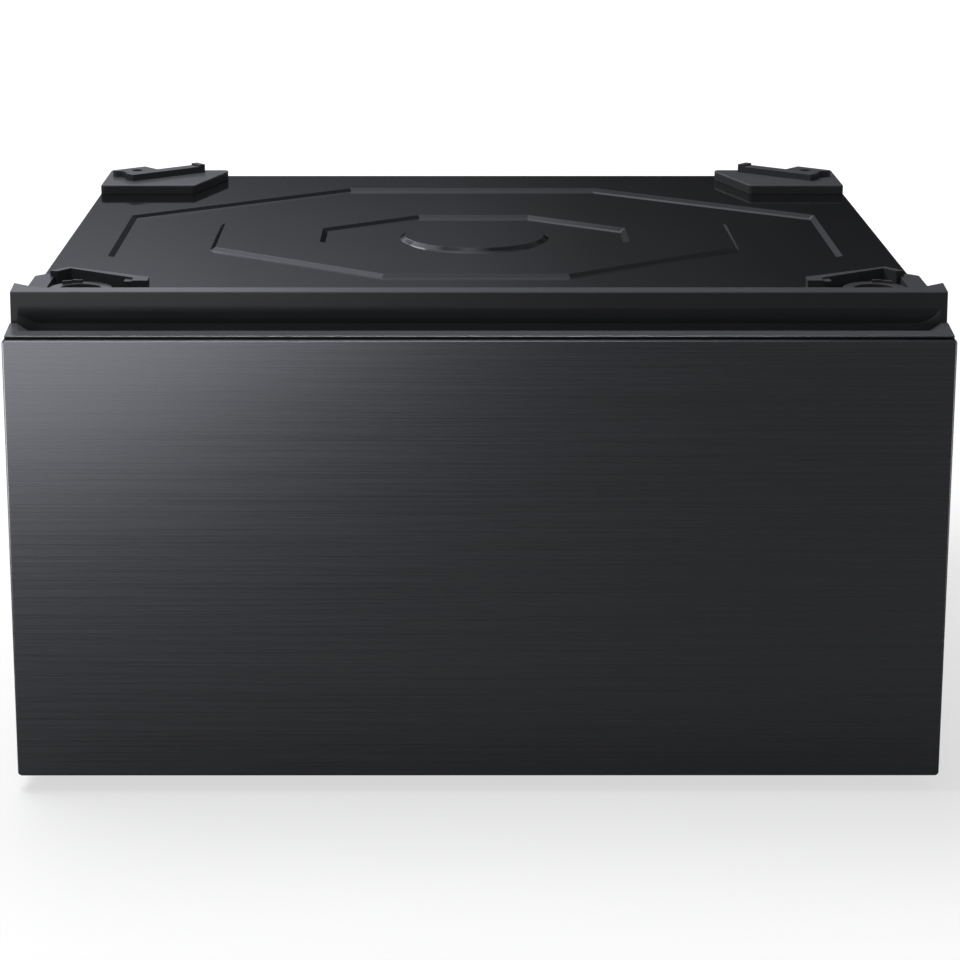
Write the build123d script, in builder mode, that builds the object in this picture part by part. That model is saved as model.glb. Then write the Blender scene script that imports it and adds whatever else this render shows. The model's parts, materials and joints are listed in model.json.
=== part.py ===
# Laundry pedestal: a steel cabinet with one full-width drawer on ball-bearing slides, four levelling
# feet, and a stamped deck with moulded seats for the feet of the machine that stands on it.
# Millimetres. The origin is on the floor under the middle of the footprint, +Z is up and the drawer's
# face looks towards -Y. Places along Y are mostly given as the distance behind that face.

import os
from math import cos, radians, sin, sqrt

from build123d import *

os.makedirs("parts", exist_ok=True)

# Overall sizes
width = 686.0
depth = 702.0
deck_height = 347.0
clearance = 0.3
running_fit = 0.1
side_names = {-1: "left", 1: "right"}

# Drawer face: brushed skin, moulded frame and handle cap
face_gap_to_floor = 12.0
deck_over_face = 2.0
skin_sheet = 1.0
skin_return = 16.0
skin_corner = 3.0
skin_edge = 1.8
frame_rear = 33.0
frame_wall = 3.0
frame_rib = 2.5
frame_rib_columns = 7
frame_rib_rows = 3
cap_setback = 4.3
cap_side_gap = 1.5
cap_height = 14.0
cap_rise_over_face = 2.0
cap_slope = 6.8
cap_lip = 11.7
cap_end_block = 10.0
cap_end_slope = 35.0
cap_floor = 3.0
cap_lip_lean = 3.0
cap_reveal = (0.5, 2.0)
scoop_edge = 3.0

# Cabinet sheet metal
side_sheet = 1.0
side_flange = 20.0
cabinet_gap = 3.0
cabinet_bottom = 21.0
bend_radius = 2.0
deck_sheet = 1.2
deck_rear_flange = 14.0
rear_sheet = 1.0
rear_setback = 4.0
rear_flange = 15.0
bead_rise = 2.4
bead_slope = 6.0
bead_margin = 60.0
bead_width = 70.0
rear_screw_margin = 70.0

# Stamped deck: three octagons and a round boss about one centre
stamp_rear_margin = 305.0
stamp_depth = 2.5
stamp_slope = 4.3
outer_octagon = (302.0, 235.0, 114.0, 94.0)
middle_octagon = (221.0, 173.0, 75.0, 58.0)
inner_octagon = (130.5, 94.0, 49.0, 31.5)
boss_radius = 63.5

# Front rail of the deck and the channel behind it
rail_side_gap = 1.5
rail_gap = 5.0
rail_lean = 1.0
rail_rise = 25.0
rail_lean_start = 3.0
rail_depth = 11.0
rail_top_slope = 6.0
rail_apron_drop = 23.0
rail_apron_depth = 11.0
rail_edge = 1.2
gusset_width = 18.5
gusset_depth = 11.0
undercut_top = 10.0
undercut_radius = 20.0
undercut_sweep = 45.0
undercut_inset = 20.0
undercut_end = 16.0
rail_screw_count = 4
rail_screw_margin = 28.7
cross_member_depth = 24.0

# Base frame
base_sheet = 2.0
base_rail_width = 66.0
base_rail_height = 26.0
base_cross_depth = 25.0

# Levelling feet
foot_side_inset = 40.0
foot_front = 85.0
foot_rear_margin = 62.0
pad_radius = 22.0
pad_height = 9.0
pad_rim = 3.0
socket_depth = 5.0
stem_radius = 5.0
stem_collar_height = 5.0
nut_across_flats = 17.0
lock_nut_height = 6.0
weld_nut_height = 8.0
foot_travel = 20.0
stem_spare = 2.0

# Drawer slides
slide_height = 150.0
slide_setback = 16.0
slide_length = 500.0
slide_half = 23.0
slide_sheet = 1.2
slide_thickness = 12.7
slide_flange = 10.4
middle_web = 2.6
cage_sheet = 0.6
ball_radius = 2.0
ball_across = 7.6
ball_count = 8
ball_pitch = 24.0
cage_length = 200.0
cage_start = 150.0
bracket_gap = 24.0
bracket_sheet = 1.5
bracket_half = 28.0
bracket_foot = 14.0
bracket_length = 560.0
rivet_radius = 2.5
rivet_head_radius = 4.5
rivet_head = 1.5
rivet_places = (35.0, 250.0, 465.0)

# Release levers on the drawer members of the slides
lever_place = 240.0
lever_length = 40.0
lever_height = 7.0
lever_thickness = 3.2
lever_tab = 10.0
lever_tab_corner = 2.3
lever_pin_radius = 2.5

# Drawer box
box_sheet = 1.0
box_front_sheet = 1.2
box_length = 563.0
box_foot_gap = 10.0
box_top_gap = 39.0
box_hem = 8.0
box_screw_places = (-240.0, 0.0, 240.0)
box_screw_margin = 40.0
bumper_radius = 5.0
bumper_margin = 40.0

# Fasteners
screw_radius = 2.0
screw_head_radius = 4.2
screw_head = 2.0
screw_boss_radius = 5.0
screw_length = 12.0

# Seats for the machine's rear feet
seat_thickness = 8.4
seat_rear_margin = 16.0
seat_length = 88.0
seat_front_width = 86.5
seat_rear_width = 111.5
seat_taper_length = 78.0
seat_corner = 4.0
seat_edge = 1.2
guide_corner = (27.5, 23.5)
guide_turn = 39.0
guide_rise = 6.0
guide_block = (36.0, 34.5)
guide_bar = (81.0, 13.6)
guide_stop = (6.5, 1.8)
guide_notch_start = 13.0
guide_notch_end = 29.0
guide_notch_depth = 4.0
seat_bolt = (18.0, 20.0)
seat_bolt_hole = 5.0
seat_bolt_floor = 4.0

# Pockets for the machine's front feet
pocket_gap = 2.0
pocket_base = 4.0
pocket_block_rise = 11.5
pocket_block_width = 15.0
pocket_block_rear = 172.0
pocket_block_round = 7.0
pocket_wall_rise = 16.0
pocket_wall = 6.0
pocket_wall_start = (13.5, 163.0)
pocket_wall_corner = (26.0, 179.0)
pocket_wall_end = (92.5, 139.0)
pocket_post = (12.0, 14.0)
pocket_flange = 6.0
pocket_rib = (3.4, 10.0)
pocket_rib_drop = 1.5
pocket_rib_cap = (6.5, 2.5)
clip_centre = (41.0, 129.0)
clip_radius = 24.0
clip_wall = 8.5
clip_rise = 9.5
clip_mouth = 50.0
clip_hook = (8.0, 1.8)
clip_hook_rise = 2.5
clip_hook_lean = 15.0
clip_hook_turns = (13.0, 38.0)
pocket_screw_places = ((84.0, 84.0), (84.0, 112.0))

# Places worked out from the sizes above
half_width = width / 2
y_rear = depth / 2
face_top = deck_height - deck_over_face
face_height = face_top - face_gap_to_floor
cap_top = face_top + cap_rise_over_face
cap_bottom = cap_top - cap_height
cap_half = half_width - cap_side_gap
rail_half = half_width - rail_side_gap
cabinet_front = frame_rear + cabinet_gap
rail_foot_front = frame_rear + rail_gap
rail_top_front = rail_foot_front + rail_lean
rail_rear = rail_top_front + rail_depth
rail_apron_rear = rail_foot_front + rail_apron_depth
rail_apron_bottom = deck_height - rail_apron_drop
rail_top = deck_height + rail_rise
deck_underside = deck_height - deck_sheet
deck_front = rail_apron_rear
stamp_centre = depth - stamp_rear_margin
side_rear = depth - rear_setback - rear_sheet
side_inner = half_width - side_flange
base_floor = cabinet_bottom + side_sheet
base_top = base_floor + base_rail_height
base_inner = half_width - side_sheet - clearance - base_rail_width
foot_x = half_width - foot_side_inset
foot_rear = depth - foot_rear_margin
stem_high = base_floor + base_sheet + weld_nut_height + foot_travel + stem_spare
slide_front = cabinet_front + slide_setback
slide_face = half_width - side_sheet - bracket_gap
box_half = slide_face - slide_thickness
box_rear = frame_rear + box_front_sheet + box_length
box_bottom = stem_high + box_foot_gap
box_top = rail_apron_bottom - box_top_gap
seat_front = depth - seat_rear_margin - seat_length
pocket_front = rail_rear + pocket_gap
race_gap = 2 * (ball_radius + clearance)
middle_half = slide_half - slide_sheet - race_gap
inner_half = middle_half - slide_sheet - race_gap
outer_row = middle_half + race_gap / 2
inner_row = inner_half + race_gap / 2
lever_hole_radius = lever_pin_radius + running_fit
stem_hole_radius = stem_radius + running_fit
screw_hole_radius = screw_radius + running_fit
rivet_hole_radius = rivet_radius + running_fit


def behind(distance):
    """Y of a point that lies this far behind the drawer's face."""
    return distance - depth / 2


def block(x, y, z, mode=Mode.ADD):
    """Box between the two ends given on each axis."""
    centre = Vector(*((low + high) / 2 for low, high in (x, y, z)))
    size = [abs(high - low) for low, high in (x, y, z)]
    with Locations(centre):
        Box(*size, mode=mode)


def along_z(points, low, high, mode=Mode.ADD):
    """Upright prism over an outline in plan."""
    with BuildSketch(Plane.XY.offset(low)) as plan:
        with BuildLine():
            Polyline(*points, close=True)
        make_face()
    extrude(plan.sketch, amount=high - low, mode=mode)


def along_x(points, low, high, mode=Mode.ADD):
    """Prism along X of an outline in Y and Z."""
    with BuildSketch(Plane.YZ.offset(low)) as section:
        with BuildLine():
            Polyline(*points, close=True)
        make_face()
    extrude(section.sketch, amount=high - low, mode=mode)


def along_y(points, low, high, mode=Mode.ADD):
    """Prism along Y of an outline in X and Z."""
    with BuildSketch(Plane.XZ.offset(-high)) as section:
        with BuildLine():
            Polyline(*points, close=True)
        make_face()
    extrude(section.sketch, amount=high - low, mode=mode)


def rod(start, axis, radius, length, mode=Mode.ADD):
    """Cylinder from a point along a direction."""
    with BuildSketch(Plane(origin=start, z_dir=axis)) as disc:
        Circle(radius)
    extrude(disc.sketch, amount=length, mode=mode)


def save(part, name):
    """Labels a finished piece and writes its file."""
    part.label = name
    export_step(part, f"parts/{name}.step")


# Drawer face skin: a folded pan of brushed steel, rounded at its corners and front edges
face_middle = face_gap_to_floor + face_height / 2
with BuildPart() as drawer_front_skin:
    with BuildSketch(Plane.XZ.offset(-behind(skin_return))):
        with Locations((0, face_middle)):
            RectangleRounded(width, face_height, skin_corner)
    extrude(amount=skin_return)
    fillet(drawer_front_skin.faces().sort_by(Axis.Y)[0].edges(), skin_edge)
    with BuildSketch(Plane.XZ.offset(-behind(skin_return))) as hollow:
        with Locations((0, face_middle)):
            RectangleRounded(width - 2 * skin_sheet, face_height - 2 * skin_sheet, skin_corner - skin_sheet)
    extrude(hollow.sketch, amount=skin_return - skin_sheet, mode=Mode.SUBTRACT)
    block(
        (-cap_half - clearance, cap_half + clearance),
        (behind(cap_setback - clearance), behind(skin_return)),
        (face_top - skin_corner, face_top),
        mode=Mode.SUBTRACT,
    )
save(drawer_front_skin.part, "drawer_front_skin")

# Drawer face frame: a ribbed moulding, open towards the skin, with a closed back and screw bosses
frame_half = half_width - skin_sheet - clearance
frame_bottom = face_gap_to_floor + skin_sheet + clearance
frame_front = skin_sheet + clearance
frame_back_plate = frame_rear - frame_wall
face_screw_rows = (box_bottom + box_screw_margin, box_top - box_screw_margin)
face_screws = [(x, z) for z in face_screw_rows for x in box_screw_places]
with BuildPart() as drawer_front_frame:
    block((-frame_half, frame_half), (behind(frame_front), behind(frame_rear)), (frame_bottom, cap_bottom))
    fillet(drawer_front_frame.edges().filter_by(Axis.Y).group_by(Axis.Z)[0], skin_corner)
    cell_pitch_x = (2 * frame_half - 2 * frame_wall + frame_rib) / frame_rib_columns
    cell_pitch_z = (cap_bottom - frame_bottom - 2 * frame_wall + frame_rib) / frame_rib_rows
    with BuildSketch(Plane.XZ.offset(-behind(frame_back_plate))):
        with Locations((0, (frame_bottom + cap_bottom) / 2)):
            with GridLocations(cell_pitch_x, cell_pitch_z, frame_rib_columns, frame_rib_rows):
                Rectangle(cell_pitch_x - frame_rib, cell_pitch_z - frame_rib)
    extrude(amount=frame_back_plate - frame_front, mode=Mode.SUBTRACT)
    for x, z in face_screws:
        rod((x, behind(frame_rear), z), (0, -1, 0), screw_boss_radius, frame_wall + screw_length)
    for x, z in face_screws:
        rod((x, behind(frame_rear), z), (0, -1, 0), screw_hole_radius, screw_length, mode=Mode.SUBTRACT)
save(drawer_front_frame.part, "drawer_front_frame")

# Handle cap: the lip behind the face's top edge, with a finger scoop that is open towards the rail
cap_front_y = behind(cap_setback)
cap_rear_y = behind(frame_rear)
cap_rear_top = cap_top + (frame_rear - cap_setback) * sin(radians(cap_slope)) / cos(radians(cap_slope))
scoop_floor = cap_bottom + cap_floor
scoop_front_y = cap_front_y + cap_lip
scoop_over = cap_rear_top + cap_height
scoop_half = cap_half - cap_end_block
scoop_spread = (scoop_over - cap_top) * cos(radians(cap_end_slope)) / sin(radians(cap_end_slope))
scoop_draw_in = (cap_top - scoop_floor) * cos(radians(cap_end_slope)) / sin(radians(cap_end_slope))
with BuildPart() as finger_scoop:
    scoop_section = (
        (scoop_front_y, scoop_over),
        (scoop_front_y, cap_top),
        (scoop_front_y + cap_lip_lean, scoop_floor),
        (cap_rear_y + cap_lip, scoop_floor),
        (cap_rear_y + cap_lip, scoop_over),
    )
    along_x(scoop_section, -half_width, half_width)
    scoop_view = (
        (-scoop_half + scoop_draw_in, scoop_floor),
        (scoop_half - scoop_draw_in, scoop_floor),
        (scoop_half + scoop_spread, scoop_over),
        (-scoop_half - scoop_spread, scoop_over),
    )
    along_y(scoop_view, scoop_front_y, cap_rear_y + cap_lip, mode=Mode.INTERSECT)
    scoop_bottom = finger_scoop.faces().sort_by(Axis.Z)[0]
    fillet(scoop_bottom.edges().sort_by(Axis.Y)[0], scoop_edge)
reveal_height, reveal_depth = cap_reveal
with BuildPart() as handle_cap:
    cap_section = (
        (cap_front_y + reveal_depth, cap_bottom),
        (cap_front_y + reveal_depth, face_top + reveal_height),
        (cap_front_y, face_top + reveal_height),
        (cap_front_y, cap_top),
        (cap_rear_y, cap_rear_top),
        (cap_rear_y, cap_bottom),
    )
    along_x(cap_section, -cap_half, cap_half)
    fillet(handle_cap.edges().filter_by(Axis.X).group_by(Axis.Z)[-2], rail_edge / 2)
    add(finger_scoop.part, mode=Mode.SUBTRACT)
save(handle_cap.part, "handle_cap")

# Rear screws join the rear panel to the side panels' rear flanges
rear_screw_heights = (
    cabinet_bottom + rear_screw_margin,
    (cabinet_bottom + deck_height) / 2,
    deck_height - rear_screw_margin,
)
rear_screw_x = half_width - side_flange / 2
rear_screw_places = [(side * rear_screw_x, z) for side in side_names for z in rear_screw_heights]

# Side panels: flanged pans, notched at the top front for the end of the rail
for side in side_names:
    with BuildPart() as side_panel:
        panel_y = (behind(cabinet_front), behind(side_rear))
        panel_z = (cabinet_bottom, deck_underside)
        block((side * side_inner, side * half_width), panel_y, panel_z)
        outer_face = side_panel.faces().sort_by(Axis.X)[-1 if side > 0 else 0]
        fillet(outer_face.edges(), bend_radius)
        block(
            (side * (side_inner - side_flange), side * (half_width - side_sheet)),
            (panel_y[0] + side_sheet, panel_y[1] - side_sheet),
            (panel_z[0] + side_sheet, panel_z[1] - side_sheet),
            mode=Mode.SUBTRACT,
        )
        block(
            (side * (side_inner - side_flange), side * width),
            (panel_y[0] - side_flange, behind(rail_apron_rear) + clearance),
            (rail_apron_bottom - clearance, deck_height),
            mode=Mode.SUBTRACT,
        )
        for x, z in rear_screw_places:
            rod((x, behind(side_rear), z), (0, -1, 0), screw_hole_radius, side_sheet, mode=Mode.SUBTRACT)
    save(side_panel.part, f"{side_names[side]}_side_panel")

# Rear panel: a sheet with a stamped frame-shaped bead and a flange under the deck
rear_face_y = behind(side_rear)
rear_half = half_width - bend_radius
rear_bottom = base_floor + bend_radius
bead_half = rear_half - bead_margin
bead_low = rear_bottom + bead_margin
bead_high = deck_underside - bead_margin


def bead_step(inset, start_y, end_y, mode):
    """Four-sided frustum of the rear bead, from one outline to the same outline drawn in by its slope."""
    outlines = []
    for reach, y in ((inset, start_y), (inset + bead_slope, end_y)):
        with BuildSketch(Plane.XZ.offset(-y)) as outline:
            with Locations((0, (bead_low + bead_high) / 2)):
                Rectangle(2 * (bead_half - reach), bead_high - bead_low - 2 * reach)
        outlines.append(outline.sketch)
    loft(outlines, ruled=True, mode=mode)


def bead_block(front_y, rear_y):
    """Slab whose rear carries the raised bead."""
    with BuildPart() as slab:
        block((-rear_half, rear_half), (front_y, rear_y), (rear_bottom, deck_underside))
        bead_step(0, rear_y, rear_y + bead_rise, Mode.ADD)
        bead_step(bead_width, rear_y + bead_rise, rear_y, Mode.SUBTRACT)
    return slab.part


with BuildPart() as rear_panel:
    add(bead_block(rear_face_y - rear_flange, rear_face_y + rear_sheet))
    add(bead_block(rear_face_y - 2 * rear_flange, rear_face_y), mode=Mode.SUBTRACT)
    flange_half = side_inner - clearance
    block(
        (-flange_half, flange_half),
        (rear_face_y - rear_flange, rear_face_y),
        (deck_underside - rear_sheet, deck_underside),
    )
    for x, z in rear_screw_places:
        rod((x, rear_face_y, z), (0, 1, 0), screw_hole_radius, rear_sheet, mode=Mode.SUBTRACT)
save(rear_panel.part, "rear_panel")

with BuildPart() as rear_panel_screws:
    for x, z in rear_screw_places:
        rod((x, rear_face_y + rear_sheet, z), (0, 1, 0), screw_head_radius, screw_head)
        rod((x, rear_face_y + rear_sheet, z), (0, -1, 0), screw_radius, screw_length)
save(rear_panel_screws.part, "rear_panel_screws")

# Deck: one stamped sheet whose octagons step down, up and down again around the round boss
stamp_y = behind(stamp_centre)


def octagon(sizes, inset, height):
    """Octagon about the deck's centre: half sizes in X and Y, then half lengths of the straight sides."""
    half_x, half_y, flat_x, flat_y = sizes
    slant = sqrt((half_x - flat_x) ** 2 + (half_y - flat_y) ** 2)
    shrink_x = inset * (slant - (half_x - flat_x)) / (half_y - flat_y)
    shrink_y = inset * (slant - (half_y - flat_y)) / (half_x - flat_x)
    x, y = half_x - inset, half_y - inset
    a, b = flat_x - shrink_x, flat_y - shrink_y
    corners = ((x, b), (a, y), (-a, y), (-x, b), (-x, -b), (-a, -y), (a, -y), (x, -b))
    with BuildSketch(Plane.XY.offset(height)) as outline:
        with BuildLine():
            Polyline(*((px, stamp_y + py) for px, py in corners), close=True)
        make_face()
    return outline.sketch


def stamped_block(top, thickness):
    """Slab whose upper side carries the deck's stamped form."""
    low = top - stamp_depth
    with BuildPart() as slab:
        block((-half_width, half_width), (behind(deck_front), y_rear), (top - thickness, top))
        loft([octagon(outer_octagon, 0, top), octagon(outer_octagon, stamp_slope, low)],
             ruled=True, mode=Mode.SUBTRACT)
        loft([octagon(middle_octagon, 0, low), octagon(middle_octagon, stamp_slope, top)], ruled=True)
        loft([octagon(inner_octagon, 0, top), octagon(inner_octagon, stamp_slope, low)],
             ruled=True, mode=Mode.SUBTRACT)
        with Locations((0, stamp_y, (low + top) / 2)):
            Cone(boss_radius, boss_radius - stamp_slope, stamp_depth)
    return slab.part


# Guide on a rear seat: places along and across its turned bar
def guide_point(side, along, over):
    """Plan point of a rear seat's guide, from its front corner."""
    turn = radians(guide_turn)
    inset = guide_corner[0] + along * cos(turn) - over * sin(turn)
    back = guide_corner[1] + along * sin(turn) + over * cos(turn)
    return (side * (half_width - inset), behind(seat_front + back))


seat_bolts = {side: guide_point(side, *seat_bolt) for side in side_names}
pocket_screws = {
    side: [(side * (half_width - inset), behind(place)) for inset, place in pocket_screw_places]
    for side in side_names
}
deck_holes = [point for side in side_names for point in [seat_bolts[side], *pocket_screws[side]]]
with BuildPart() as top_plate:
    add(stamped_block(deck_height, deck_rear_flange))
    add(stamped_block(deck_underside, deck_rear_flange), mode=Mode.SUBTRACT)
    deck_rear_low = deck_height - deck_rear_flange
    block((-half_width, half_width), (y_rear - deck_sheet, y_rear), (deck_rear_low, deck_height))
    for x, y in deck_holes:
        rod((x, y, deck_underside), (0, 0, 1), screw_hole_radius, deck_sheet, mode=Mode.SUBTRACT)
save(top_plate.part, "top_plate")

# Front rail: its front leans back, curves away under the hand's grip, and ends in gussets behind
top_rise = sin(radians(rail_top_slope)) / cos(radians(rail_top_slope))
gusset_rear = rail_rear + gusset_depth
lean_foot = deck_height + rail_lean_start
undercut_z = rail_top - undercut_top
lean_rate = (rail_top_front - rail_foot_front) / (rail_top - lean_foot)
undercut_start = rail_foot_front + (undercut_z - lean_foot) * lean_rate
undercut_half = rail_half - undercut_inset
member_half = side_inner - clearance
with BuildPart() as undercut:
    with BuildSketch(Plane.YZ.offset(-half_width)) as undercut_section:
        with BuildLine():
            curve = JernArc(
                start=(behind(undercut_start), undercut_z),
                tangent=(rail_foot_front - rail_top_front, lean_foot - rail_top),
                radius=undercut_radius,
                arc_size=undercut_sweep,
            )
            hollow_y = (curve @ 1).X
            Polyline(
                curve @ 1,
                (hollow_y, rail_apron_bottom),
                (behind(0), rail_apron_bottom),
                (behind(0), undercut_z),
                curve @ 0,
            )
        make_face()
    extrude(undercut_section.sketch, amount=width)
    undercut_plan = (
        (-undercut_half - undercut_end, behind(0)),
        (undercut_half + undercut_end, behind(0)),
        (undercut_half + undercut_end, behind(rail_foot_front)),
        (undercut_half, hollow_y),
        (-undercut_half, hollow_y),
        (-undercut_half - undercut_end, behind(rail_foot_front)),
    )
    along_z(undercut_plan, rail_apron_bottom, undercut_z, mode=Mode.INTERSECT)
with BuildPart() as front_top_rail:
    rail_section = (
        (behind(rail_foot_front), rail_apron_bottom),
        (behind(rail_foot_front), lean_foot),
        (behind(rail_top_front), rail_top),
        (behind(gusset_rear), rail_top + (gusset_rear - rail_top_front) * top_rise),
        (behind(gusset_rear), deck_height),
        (behind(rail_apron_rear), deck_height),
        (behind(rail_apron_rear), rail_apron_bottom),
    )
    along_x(rail_section, -rail_half, rail_half)
    gusset_inner = rail_half - gusset_width
    behind_rail = (
        (-gusset_inner, behind(rail_rear)),
        (gusset_inner, behind(rail_rear)),
        (rail_half, behind(gusset_rear)),
        (half_width, behind(gusset_rear)),
        (half_width, behind(gusset_rear + gusset_depth)),
        (-half_width, behind(gusset_rear + gusset_depth)),
        (-half_width, behind(gusset_rear)),
        (-rail_half, behind(gusset_rear)),
    )
    along_z(behind_rail, deck_height, rail_top + rail_depth, mode=Mode.SUBTRACT)
    fillet(front_top_rail.edges().filter_by(Axis.X).group_by(Axis.Z)[-2], rail_edge)
    add(undercut.part, mode=Mode.SUBTRACT)
    rail_screw_height = (rail_apron_bottom + deck_underside) / 2
    rail_screw_reach = member_half - rail_screw_margin
    rail_screw_pitch = 2 * rail_screw_reach / (rail_screw_count - 1)
    rail_screw_places = [rail_screw_pitch * index - rail_screw_reach for index in range(rail_screw_count)]
    rail_screw_hole = (behind(rail_apron_rear) - hollow_y) / 2
    for x in rail_screw_places:
        start = (x, behind(rail_apron_rear), rail_screw_height)
        rod(start, (0, -1, 0), screw_hole_radius, rail_screw_hole, mode=Mode.SUBTRACT)
save(front_top_rail.part, "front_top_rail")

# Channel behind the rail, which carries the deck's front edge between the side panels
with BuildPart() as front_cross_member:
    member_y = (behind(rail_apron_rear), behind(rail_apron_rear + cross_member_depth))
    block((-member_half, member_half), member_y, (rail_apron_bottom, deck_underside))
    block(
        (-member_half, member_half),
        (member_y[0] + deck_sheet, member_y[1]),
        (rail_apron_bottom + deck_sheet, deck_underside - deck_sheet),
        mode=Mode.SUBTRACT,
    )
    for x in rail_screw_places:
        start = (x, member_y[0], rail_screw_height)
        rod(start, (0, 1, 0), screw_hole_radius, deck_sheet, mode=Mode.SUBTRACT)
save(front_cross_member.part, "front_cross_member")

with BuildPart() as rail_screws:
    for x in rail_screw_places:
        seat = (x, behind(rail_apron_rear) + deck_sheet, rail_screw_height)
        rod(seat, (0, 1, 0), screw_head_radius, screw_head)
        rod(seat, (0, -1, 0), screw_radius, deck_sheet + rail_screw_hole - running_fit)
save(rail_screws.part, "rail_screws")

# Base frame: open channels along the sides, which hold the feet, and across the front and the rear
foot_places = {
    f"{end}_{side_names[side]}": (side * foot_x, behind(place))
    for end, place in (("front", foot_front), ("rear", foot_rear))
    for side in side_names
}
base_y = (behind(cabinet_front) + side_sheet + clearance, behind(side_rear) - side_sheet - clearance)
for side in side_names:
    with BuildPart() as base_rail:
        rail_x = (base_inner, half_width - side_sheet - clearance)
        block((side * rail_x[0], side * rail_x[1]), base_y, (base_floor, base_top))
        block(
            (side * (rail_x[0] + base_sheet), side * (rail_x[1] - base_sheet)),
            base_y,
            (base_floor + base_sheet, base_top),
            mode=Mode.SUBTRACT,
        )
        for place in (foot_front, foot_rear):
            start = (side * foot_x, behind(place), base_floor)
            rod(start, (0, 0, 1), stem_hole_radius, base_sheet, mode=Mode.SUBTRACT)
    save(base_rail.part, f"{side_names[side]}_base_rail")

for end, cross_y in (("front", base_y[0]), ("rear", base_y[1] - base_cross_depth)):
    with BuildPart() as cross_rail:
        cross_half = base_inner - clearance
        block((-cross_half, cross_half), (cross_y, cross_y + base_cross_depth), (base_floor, base_top))
        block(
            (-cross_half, cross_half),
            (cross_y + base_sheet, cross_y + base_cross_depth - base_sheet),
            (base_floor + base_sheet, base_top),
            mode=Mode.SUBTRACT,
        )
    save(cross_rail.part, f"{end}_base_rail")


# Levelling feet: a pad that stands still on the floor, and a threaded stem that turns in it
def nut(place, low, height):
    """Hexagon nut with a clearance bore for the stem."""
    with BuildSketch(Plane.XY.offset(low)) as outline:
        with Locations(place):
            RegularPolygon(nut_across_flats / 2, 6, major_radius=False)
            Circle(stem_hole_radius, mode=Mode.SUBTRACT)
    extrude(outline.sketch, amount=height)


with BuildPart() as foot_weld_nuts:
    for place in foot_places.values():
        nut(place, base_floor + base_sheet, weld_nut_height)
save(foot_weld_nuts.part, "foot_weld_nuts")

with BuildPart() as foot_lock_nuts:
    for place in foot_places.values():
        nut(place, base_floor - lock_nut_height, lock_nut_height)
save(foot_lock_nuts.part, "foot_lock_nuts")

collar_low = pad_height + clearance
stem_low = pad_height - socket_depth + clearance
for name, (x, y) in foot_places.items():
    with BuildPart() as foot_pad:
        with Locations((x, y, pad_rim / 2)):
            Cylinder(pad_radius, pad_rim)
        with Locations((x, y, (pad_rim + pad_height) / 2)):
            Cone(pad_radius, stem_radius + pad_rim, pad_height - pad_rim)
        rod((x, y, pad_height), (0, 0, -1), stem_hole_radius, socket_depth, mode=Mode.SUBTRACT)
    save(foot_pad.part, f"foot_pad_{name}")
    with BuildPart() as foot_stem:
        rod((x, y, stem_low), (0, 0, 1), stem_radius, stem_high - stem_low)
        with BuildSketch(Plane.XY.offset(collar_low)) as collar:
            with Locations((x, y)):
                RegularPolygon(nut_across_flats / 2, 6, major_radius=False)
        extrude(collar.sketch, amount=stem_collar_height)
    save(foot_stem.part, f"foot_stem_{name}")


# Drawer slides. Places across a slide run inwards from the bracket's face
def across(side, distance):
    """X of a point this far inside the slide's mounting face."""
    return side * (slide_face - distance)


def channel(side, web, tip, half, y_ends):
    """Folded slide member: a web and two flanges that reach to the tip."""
    near, far = web
    sheet = abs(far - near)
    block((across(side, near), across(side, far)), y_ends, (slide_height - half, slide_height + half))
    for sign in (-1, 1):
        block(
            (across(side, near), across(side, tip)),
            y_ends,
            (slide_height + sign * half, slide_height + sign * (half - sheet)),
        )


def slide_y(start, length):
    """Ends along Y of a piece that starts this far along the slide."""
    return (behind(slide_front + start), behind(slide_front + start + length))


def ball_places(side, row):
    """Centres of one cage's balls, in an upper and a lower row."""
    first = slide_front + cage_start + cage_length / 2 - ball_pitch * (ball_count - 1) / 2
    return [
        (across(side, ball_across), behind(first + ball_pitch * index), slide_height + sign * row)
        for sign in (-1, 1)
        for index in range(ball_count)
    ]


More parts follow.
